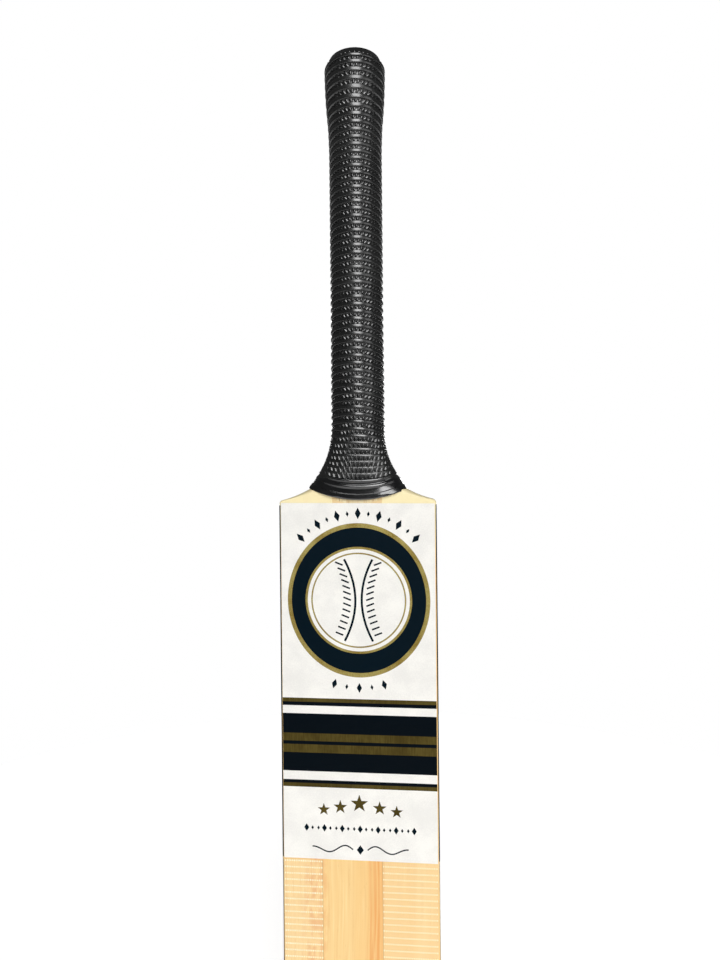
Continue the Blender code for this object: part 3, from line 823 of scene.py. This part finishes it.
label = {
    "halfWidth": 52.8 * mm, "bottomZ": 303.2 * mm, "topZ": 547.8 * mm,
    "thickness": 0.2 * mm, "ink": 0.03 * mm, "skew": 0.55, "weave": 1.5 * mm,
    "white": (252, 250, 244), "navy": (1, 19, 30), "bandNavy": (0, 9, 17),
    "gold": (90, 78, 36), "goldDark": (68, 57, 22), "foil": (178, 164, 98), "foilDark": (134, 112, 50),
    "roundelZ": 481.3 * mm, "roundelX": 0.4 * mm, "roundelWide": 48.9 * mm, "ringWide": 2.8 * mm, "oval": 1.08,
    # the medallion: a white disc with a gold rim and line, and the seam of a ball, in mm
    "disc": 35.0, "discRim": 36.6, "line": (31.6, 32.6), "seamHalf": 28, "seamOff": 2.2, "seamBow": 7.5,
    "seamWide": 1.5, "stitchFrom": 5.2, "stitchLong": 5.2, "stitchWide": 1.1,
    # arcs of lozenges: middle and step in degrees, count each side, radii across and up, large and small
    "arcs": (
        (90, -7.4, 6, 56.5, 59.5, (2.0, 3.9), (1.0, 1.9)),
        (270, 8.5, 2, 58.5, 60.0, (1.8, 3.4), (1.0, 1.9)),
    ),
    # ink, bottom and top of each band in mm
    "bands": (
        ("gold", 410.9, 413.6), ("navy", 408.4, 410.9), ("navy", 389.4, 402.9), ("gold", 384.0, 389.4),
        ("navy", 381.7, 384.0), ("gold", 376.0, 381.7), ("navy", 363.3, 376.0), ("navy", 355.1, 357.3),
        ("gold", 352.4, 355.1),
    ),
    # across, height, width of each star in mm
    "stars": (
        (-24.9, 337.2, 8.5), (-13.5, 339.3, 9.4), (-0.4, 342.0, 11.9), (13.5, 339.3, 9.4), (25.1, 337.2, 8.5),
    ),
    "rowZ": 324.6, "rowStep": 4.1, "rowLarge": (1.7, 2.6), "rowSmall": (0.9, 1.4),
    "scrollZ": 310.4, "scrollFrom": 5, "scrollLong": 28, "scrollTall": 3.0, "scrollWide": 0.9,
}
labelY = blade["faceY"] - 0.02 * mm


def printedFinish(name, rgb, roughness, metallic=0.0, second=None, linen=0.35, specular=0.05, streaky=False):
    finish, tree, shader = newFinish(name, roughness=roughness, specular=specular, metallic=metallic)
    cloud = mottle(tree, (55, 55, 55), 3.0, 0.6)
    speckle = mottle(tree, (1100, 300, 90 if streaky else 1100), 3.0, 0.7)
    shade = sums(tree, "MULTIPLY_ADD", speckle, 0.45, times(tree, cloud, 0.55))
    other = second or tuple(int(c * 0.955) for c in rgb)
    ink = blendColour(tree, spread(tree, shade, 0.36, 0.64), colour(rgb), colour(other))
    paint(tree, shader, ink)
    x, y, z = axes(tree)[:3]
    turn = 2 * math.pi / label["weave"]
    first = sums(tree, "SINE", times(tree, sums(tree, "ADD", x, z), turn))
    cross = sums(tree, "SINE", times(tree, sums(tree, "SUBTRACT", x, z), turn))
    bump(tree, shader, times(tree, first, cross), linen, 0.00008)
    satin = spread(tree, cloud, 0.3, 0.7, roughness - 0.05, roughness + 0.08)
    tree.links.new(satin, shader.inputs["Roughness"])
    return finish


# a place on the label, the right side set a little lower as it is stuck on
def onLabel(x, z, lift=0.0):
    return Vector((x, labelY - label["thickness"] - lift, z - x * math.tan(math.radians(label["skew"]))))


# a flat print of the given outline; with a hole it becomes a ring of strips
def print2d(outline, lift=0.0, thick=None, hole=None):
    thick = label["ink"] if thick is None else thick
    count = len(outline)
    layers = []
    for depth in (lift, lift + thick):
        layers.append([onLabel(x, z, depth) for x, z in outline])
        if hole:
            layers.append([onLabel(x, z, depth) for x, z in hole])
    points = [p for layer in layers for p in layer]
    faces = []
    for i in range(count):
        j = (i + 1) % count
        if hole:
            for a, b in ((0, 1), (1, 3), (3, 2), (2, 0)):
                faces.append((a * count + i, a * count + j, b * count + j, b * count + i))
        else:
            faces.append((i, j, count + j, count + i))
    if not hole:
        faces += [tuple(range(count)), tuple(range(count, 2 * count))]
    return points, faces


def circle(cx, cz, radius, count=128, stretch=1.0):
    turns = [2 * math.pi * k / count for k in range(count)]
    return [(cx + radius * math.cos(a), cz + radius * stretch * math.sin(a)) for a in turns]


def rectangle(low, high, bottom, top):
    return [(low, bottom), (high, bottom), (high, top), (low, top)]


def star(cx, cz, width):
    outer = width / 2 / math.cos(math.radians(18))
    corners = []
    for k in range(10):
        radius = outer if k % 2 == 0 else outer * 0.40
        angle = math.pi / 2 + math.pi * k / 5
        corners.append((cx + radius * math.cos(angle), cz + radius * math.sin(angle)))
    return corners


def lozenge(cx, cz, halfWide, halfTall, turn=0.0):
    corners = []
    for x, z in ((halfWide, 0), (0, halfTall), (-halfWide, 0), (0, -halfTall)):
        corners.append((
            cx + x * math.cos(turn) - z * math.sin(turn),
            cz + x * math.sin(turn) + z * math.cos(turn),
        ))
    return corners


# a line of even width through points
def stroke(path, wide):
    left, right = [], []
    for k, (x, z) in enumerate(path):
        ax, az = path[max(k - 1, 0)]
        bx, bz = path[min(k + 1, len(path) - 1)]
        length = math.hypot(bx - ax, bz - az)
        nx, nz = -(bz - az) / length * wide / 2, (bx - ax) / length * wide / 2
        left.append((x + nx, z + nz))
        right.append((x - nx, z - nz))
    return left + right[::-1]


def makeLabel():
    gold, foil = label["gold"], label["foil"]
    finishes = {
        "Navy": printedFinish("navyInk", label["navy"], 0.36, linen=0.5),
        "Gold": printedFinish("goldInk", gold, 0.40, 0.2, label["goldDark"], 0.3, streaky=True),
        "Foil": printedFinish("goldFoil", foil, 0.36, 0.3, label["foilDark"], 0.3),
        "Band": printedFinish("bandInk", label["bandNavy"], 0.40, linen=0.5, streaky=True),
    }
    white = printedFinish("labelFilm", label["white"], 0.42)
    prints = {ink: [] for ink in finishes}
    half, ink = label["halfWidth"], label["ink"]
    edges = rectangle(-half, half, label["bottomZ"], label["topZ"])
    film = print2d(edges, -label["thickness"], label["thickness"])
    settle(cluster("labelFilm", [film], white), "label_print", "face_label")
    cx, cz = label["roundelX"], label["roundelZ"]
    outer = circle(cx, cz, label["roundelWide"], stretch=label["oval"])
    inner = circle(cx, cz, label["roundelWide"] - label["ringWide"], stretch=label["oval"])
    prints["Navy"].append(print2d(inner))
    prints["Foil"].append(print2d(outer, hole=inner))
    disc = circle(cx, cz, label["disc"] * mm)
    lineIn, lineOut = [circle(cx, cz, radius * mm) for radius in label["line"]]
    medallion = print2d(disc, ink)
    prints["Foil"].append(print2d(circle(cx, cz, label["discRim"] * mm), ink, hole=disc))
    prints["Foil"].append(print2d(lineOut, 2 * ink, hole=lineIn))
    tall, bow = label["seamHalf"], label["seamBow"]
    for side in (-1, 1):
        seam = []
        for t in steps(-tall, tall, 40):
            seam.append((cx + side * (label["seamOff"] + bow * (t / tall) ** 2) * mm, cz + t * mm))
        prints["Navy"].append(print2d(stroke(seam, label["seamWide"] * mm), 2 * ink))
        for t in range(4 - tall, tall - 3, 4):
            near = label["stitchFrom"] + bow * (t / tall) ** 2
            far = near + label["stitchLong"]
            stitch = [(cx + side * near * mm, cz + t * mm), (cx + side * far * mm, cz + (t + 2.0) * mm)]
            prints["Navy"].append(print2d(stroke(stitch, label["stitchWide"] * mm), 2 * ink))
    for middle, step, count, across, up, large, small in label["arcs"]:
        for k in range(-count, count + 1):
            angle = math.radians(middle + k * step)
            wide, high = large if k % 2 == 0 else small
            where = (cx + across * mm * math.cos(angle), cz + up * mm * math.sin(angle))
            prints["Navy"].append(print2d(lozenge(*where, wide * mm, high * mm, angle - math.pi / 2)))
    for kind, low, high in label["bands"]:
        band = print2d(rectangle(-half, half, low * mm, high * mm))
        prints["Band" if kind == "navy" else "Gold"].append(band)
    for x, z, wide in label["stars"]:
        prints["Gold"].append(print2d(star(x * mm, z * mm, wide * mm)))
    # a row of small lozenges, and a scroll under it
    for k in range(-9, 10):
        wide, high = label["rowLarge"] if k % 3 == 0 else label["rowSmall"]
        x = k * label["rowStep"] * mm
        prints["Navy"].append(print2d(lozenge(x, label["rowZ"] * mm, wide * mm, high * mm)))
    for side in (-1, 1):
        scroll = []
        for t in steps(0.0, 1.0, 60):
            x = side * (label["scrollFrom"] + label["scrollLong"] * t)
            wave = label["scrollTall"] * math.sin(t * math.pi * 2.5) * (1 - 0.55 * t)
            scroll.append((x * mm, (label["scrollZ"] + wave) * mm))
        prints["Navy"].append(print2d(stroke(scroll, label["scrollWide"] * mm)))
    prints["Navy"].append(print2d(lozenge(0, label["scrollZ"] * mm, 2.4 * mm, 3.2 * mm)))
    for kind, finish in finishes.items():
        settle(cluster("label" + kind + "Print", prints[kind], finish), "label_print", "face_label")
    settle(cluster("labelMedallion", [medallion], white), "label_print", "face_label")


makeLabel()
print("label printed")

# length along the blade's skin with the point and outward direction there, right side
def skinPath(z, lift):
    section = halfSection(blade["halfWidth"], z, faceSteps=30)
    path, run = [], 0.0
    for k, (x, y) in enumerate(section):
        ax, ay = section[max(k - 1, 0)]
        bx, by = section[min(k + 1, len(section) - 1)]
        length = math.hypot(bx - ax, by - ay) or 1.0
        nx, ny = (by - ay) / length, -(bx - ax) / length
        if k:
            run += math.hypot(x - section[k - 1][0], y - section[k - 1][1])
        path.append((run, x + nx * lift, y + ny * lift, nx, ny))
    return path


def alongSkin(path, run):
    for low, high in zip(path, path[1:]):
        if run <= high[0]:
            t = clamp01((run - low[0]) / max(high[0] - low[0], 1e-9))
            return [mix(low[k], high[k], t) for k in range(1, 5)]
    return list(path[-1][1:])


def runWhere(path, x, onBack):
    edge = next(k for k, p in enumerate(path) if p[1] >= blade["halfWidth"] - 0.1 * mm)
    part = path[edge:] if onBack else path[:edge + 1]
    best = min(part, key=lambda p: abs(p[1] - x))
    return best[0]


# a strip of film from one length to another round the skin, both measured at each height
def wrapFilm(name, side, heights, limits, base, thick, finish, count=48):
    rings = []
    for z in heights:
        path = skinPath(z, 0.0)
        start, stop = limits(z, path)
        low, high = [], []
        for run in steps(start, stop, count):
            x, y, nx, ny = alongSkin(path, run)
            low.append(Vector((side * (x + nx * base), y + ny * base, z)))
            high.append(Vector((side * (x + nx * (base + thick)), y + ny * (base + thick), z)))
        rings.append(high + low[::-1])
    return loft(name, rings, finish)


tape = {
    "topZ": 302.9 * mm, "bottomZ": 32 * mm, "left": 28 * mm, "right": 39 * mm, "onBack": 12 * mm,
    "lift": 0.05 * mm, "film": 0.12 * mm, "row": 4.4 * mm, "dash": 1.57 * mm, "seed": 31,
    "thread": (255, 252, 222), "warp": (253, 240, 196),
    # a dash of thread: half its length as a share of the step on the left and right, half height, thickness
    "longLeft": 0.30, "longRight": 0.23, "tall": 0.56 * mm, "proud": 0.10 * mm, "fromArris": 1.5 * mm,
}


def threadFinish():
    finish, tree, shader = newFinish("glassThread", roughness=0.35, specular=0.5)
    fuzz = mottle(tree, (1200, 1200, 2400), 2.0)
    shade = spread(tree, fuzz, 0.35, 0.7)
    paint(tree, shader, blendColour(tree, shade, colour(tape["thread"]), colour(tape["warp"])))
    bump(tree, shader, fuzz, 0.2, 0.0001)
    return finish


def makeTape(word, side, wide, film, thread):
    def limits(z, path):
        return blade["halfWidth"] - wide, runWhere(path, blade["halfWidth"] - tape["onBack"], True)

    name = "face_tape_" + word
    heights = steps(tape["bottomZ"], tape["topZ"], 48)
    settle(
        wrapFilm("tapeFilm" + word.title(), side, heights, limits, tape["lift"], tape["film"], film),
        "fibre_tape", name,
    )
    draw = random.Random(tape["seed"] + side)
    solids = []
    pad = [(0, 1, 2, 3), (4, 7, 6, 5), (0, 4, 5, 1), (1, 5, 6, 2), (2, 6, 7, 3), (3, 7, 4, 0)]
    skew = math.tan(math.radians(label["skew"]))
    z = tape["topZ"] - (1.6 if side < 0 else 3.2) * mm
    while z > tape["bottomZ"] + 2 * mm:
        path = skinPath(z, 0.0)
        start, stop = limits(z, path)
        run = start + 0.8 * mm
        while run < stop - 1.5 * mm:
            share = tape["longLeft"] if side < 0 else tape["longRight"]
            long = tape["dash"] * share * draw.uniform(0.9, 1.1)
            tall = tape["tall"] * draw.uniform(0.88, 1.12)
            drop = -skew * side * min(run, blade["halfWidth"])
            corners = []
            for lift, share in ((0.0, 1.0), (tape["proud"], 0.7)):
                reach = tape["lift"] + tape["film"] + lift - 0.01 * mm
                for along, up in ((-1, -1), (1, -1), (1, 1), (-1, 1)):
                    x, y, nx, ny = alongSkin(path, run + along * long * share)
                    level = z + drop + up * tall * share
                    corners.append(Vector((side * (x + nx * reach), y + ny * reach, level)))
            if abs(run - blade["halfWidth"] - 0.3 * mm) > tape["fromArris"]:
                solids.append((corners, pad))
            run += tape["dash"]
        z -= tape["row"] * draw.uniform(0.985, 1.015)
    settle(cluster("tapeThreads" + word.title(), solids, thread, crease=50), "fibre_tape", name)


tapeFilm = willowFinish("tapedWood", 0.34, taped=True)
tapeThread = threadFinish()
makeTape("left", -1, tape["left"], tapeFilm, tapeThread)
makeTape("right", 1, tape["right"], tapeFilm, tapeThread)
print("tapes laid")

edgeFilm = {
    "bottomZ": 304 * mm, "topZ": 546.5 * mm, "lift": 0.05 * mm, "film": 0.2 * mm, "dark": (20, 24, 30),
    "line": (120, 100, 48), "lineDark": (96, 80, 36), "lineWide": 1.2 * mm, "lineThick": 0.03 * mm,
    "ontoLeft": 0.95 * mm, "ontoRight": 0.55 * mm,  # how far it reaches round onto the face
}


def makeEdgeFilm(word, side, dark, gold):
    def limits(z, path):
        start = blade["halfWidth"] - edgeFilm["ontoLeft" if side < 0 else "ontoRight"]
        stop = runWhere(path, blade["halfWidth"] - blade["backArris"] * 0.4, True)
        return start, stop

    name = "edge_label_" + word
    heights = steps(edgeFilm["bottomZ"], edgeFilm["topZ"], 40)
    lift, thick = edgeFilm["lift"], edgeFilm["film"]
    film = wrapFilm("edgeFilm" + word.title(), side, heights, limits, lift, thick, dark, 24)
    settle(film, "trim_print", name)
    for number, share in (("A", 0.20), ("B", 0.80)):
        def lineLimits(z, path):
            start, stop = limits(z, path)
            centre = mix(start, stop, share)
            return centre - edgeFilm["lineWide"] / 2, centre + edgeFilm["lineWide"] / 2

        lineHeights = steps(edgeFilm["bottomZ"] + 6 * mm, edgeFilm["topZ"] - 10 * mm, 40)
        lineName, lineThick = "edgeLine" + number + word.title(), edgeFilm["lineThick"]
        line = wrapFilm(lineName, side, lineHeights, lineLimits, lift + thick, lineThick, gold, 2)
        settle(line, "trim_print", name)


trimDark = printedFinish("trimFilm", edgeFilm["dark"], 0.35, linen=0.2)
trimGold = printedFinish("trimGold", edgeFilm["line"], 0.38, 0.3, edgeFilm["lineDark"], 0.2)
makeEdgeFilm("left", -1, trimDark, trimGold)
makeEdgeFilm("right", 1, trimDark, trimGold)

backFilm = {
    "inner": 14 * mm, "outer": 40 * mm, "bottomZ": 250 * mm, "topZ": 420 * mm,
    "lift": 0.08 * mm, "film": 0.2 * mm, "inset": 1 * mm, "lineThick": 0.03 * mm,
    # bottom and top of each gold line in mm
    "lines": (("A", 256, 259), ("B", 262, 263.4), ("C", 406.6, 408), ("D", 411, 414)),
}


def makeBackFilm(word, side, dark, gold):
    def patch(lowX, highX, lowZ, highZ, lift, thick):
        rings = []
        for z in steps(lowZ, highZ, 24):
            across = steps(lowX, highX, 12)
            low = [Vector((side * x, backY(x, z) + lift, z)) for x in across]
            high = [p + Vector((0, thick, 0)) for p in low]
            rings.append(low + high[::-1])
        return rings

    name = "back_label_" + word
    inner, outer, lift, thick = backFilm["inner"], backFilm["outer"], backFilm["lift"], backFilm["film"]
    rings = patch(inner, outer, backFilm["bottomZ"], backFilm["topZ"], lift, thick)
    settle(loft("backFilm" + word.title(), rings, dark), "trim_print", name)
    inner, outer = inner + backFilm["inset"], outer - backFilm["inset"]
    for number, lowZ, highZ in backFilm["lines"]:
        rings = patch(inner, outer, lowZ * mm, highZ * mm, lift + thick, backFilm["lineThick"])
        settle(loft("backLine" + number + word.title(), rings, gold), "trim_print", name)


makeBackFilm("left", -1, trimDark, trimGold)
makeBackFilm("right", 1, trimDark, trimGold)
print("edge and back films laid")

studio = {
    "floor": (250, 250, 250), "floorShade": (247, 247, 247), "floorRadius": 1.1, "floorCorners": 64,
    "floorDrop": 0.2 * mm, "floorGlow": 0.62, "ambient": 0.08,
    "camera": {
        "distance": 0.438, "yaw": 4.38, "height": 0.5636, "roll": -0.56, "lens": 24.0, "across": 2.2 * mm,
    },
    # name, place, aim, size, watts
    "lights": (
        ("keyPanel", (0.38, -2.4, 1.78), (0.0, 0.0, 0.60), (1.2, 2.45), 58.0),
        ("sidePanel", (2.0, -1.5, 0.9), (0.0, 0.0, 0.6), (1.2, 1.6), 7.0),
        ("backPanel", (0.0, 2.3, 0.36), (0.0, 0.0, 0.45), (2.6, 0.66), 34.0),
    ),
}


def makeStage():
    finish, tree, shader = newFinish("paperFloor", roughness=0.8, specular=0.1)
    paper = mottle(tree, (60, 60, 60), 3.0)
    shade = spread(tree, paper, 0.3, 0.7)
    base = blendColour(tree, shade, colour(studio["floor"]), colour(studio["floorShade"]))
    paint(tree, shader, base)
    shader.inputs["Emission Color"].default_value = (1, 1, 1, 1)
    shader.inputs["Emission Strength"].default_value = studio["floorGlow"]
    count, drop = studio["floorCorners"], studio["floorDrop"]
    points = [(x, z, -drop) for x, z in circle(0, 0, studio["floorRadius"], count)]
    floor = meshPiece("paperFloor", points, [tuple(range(count))], finish, crease=0)


def aim(thing, target):
    thing.rotation_mode = "QUATERNION"
    thing.rotation_quaternion = (Vector(target) - thing.location).to_track_quat("-Z", "Y")


def makeLights():
    for name, where, target, size, power in studio["lights"]:
        lamp = bpy.data.lights.new(name, "AREA")
        lamp.shape = "RECTANGLE"
        lamp.size, lamp.size_y = size
        lamp.energy = power
        holder = bpy.data.objects.new(name, lamp)
        holder.location = where
        aim(holder, target)
        bpy.context.scene.collection.objects.link(holder)
    world = bpy.data.worlds.new("studioWorld")
    world.use_nodes = True
    tree = world.node_tree
    tree.nodes.clear()
    end = tree.nodes.new("ShaderNodeOutputWorld")
    seen = tree.nodes.new("ShaderNodeBackground")
    seen.inputs["Strength"].default_value = 1.0
    seen.inputs["Color"].default_value = (1, 1, 1, 1)
    glow = tree.nodes.new("ShaderNodeBackground")
    glow.inputs["Strength"].default_value = studio["ambient"]
    glow.inputs["Color"].default_value = (1, 1, 1, 1)
    pick = tree.nodes.new("ShaderNodeMixShader")
    path = tree.nodes.new("ShaderNodeLightPath")
    tree.links.new(path.outputs["Is Camera Ray"], pick.inputs[0])
    tree.links.new(glow.outputs[0], pick.inputs[1])
    tree.links.new(seen.outputs[0], pick.inputs[2])
    tree.links.new(pick.outputs[0], end.inputs["Surface"])
    bpy.context.scene.world = world
    bpy.context.scene.view_settings.view_transform = "Standard"


def makeCamera():
    look = studio["camera"]
    yaw = math.radians(look["yaw"])
    lens = bpy.data.cameras.new("view")
    lens.sensor_width = 36.0
    lens.lens = look["lens"]
    lens.clip_start = 0.01
    holder = bpy.data.objects.new("view", lens)
    middle = Vector((look["across"], blade["faceY"], look["height"]))
    back = Vector((math.sin(yaw), -math.cos(yaw), 0.0))
    holder.location = middle + back * look["distance"]
    turn = (-back).to_track_quat("-Z", "Y").to_matrix().to_4x4()
    roll = Matrix.Rotation(math.radians(look["roll"]), 4, "Z")
    holder.matrix_world = Matrix.Translation(holder.location) @ turn @ roll
    bpy.context.scene.collection.objects.link(holder)
    bpy.context.scene.camera = holder


makeStage()
makeLights()
makeCamera()
print("studio set")
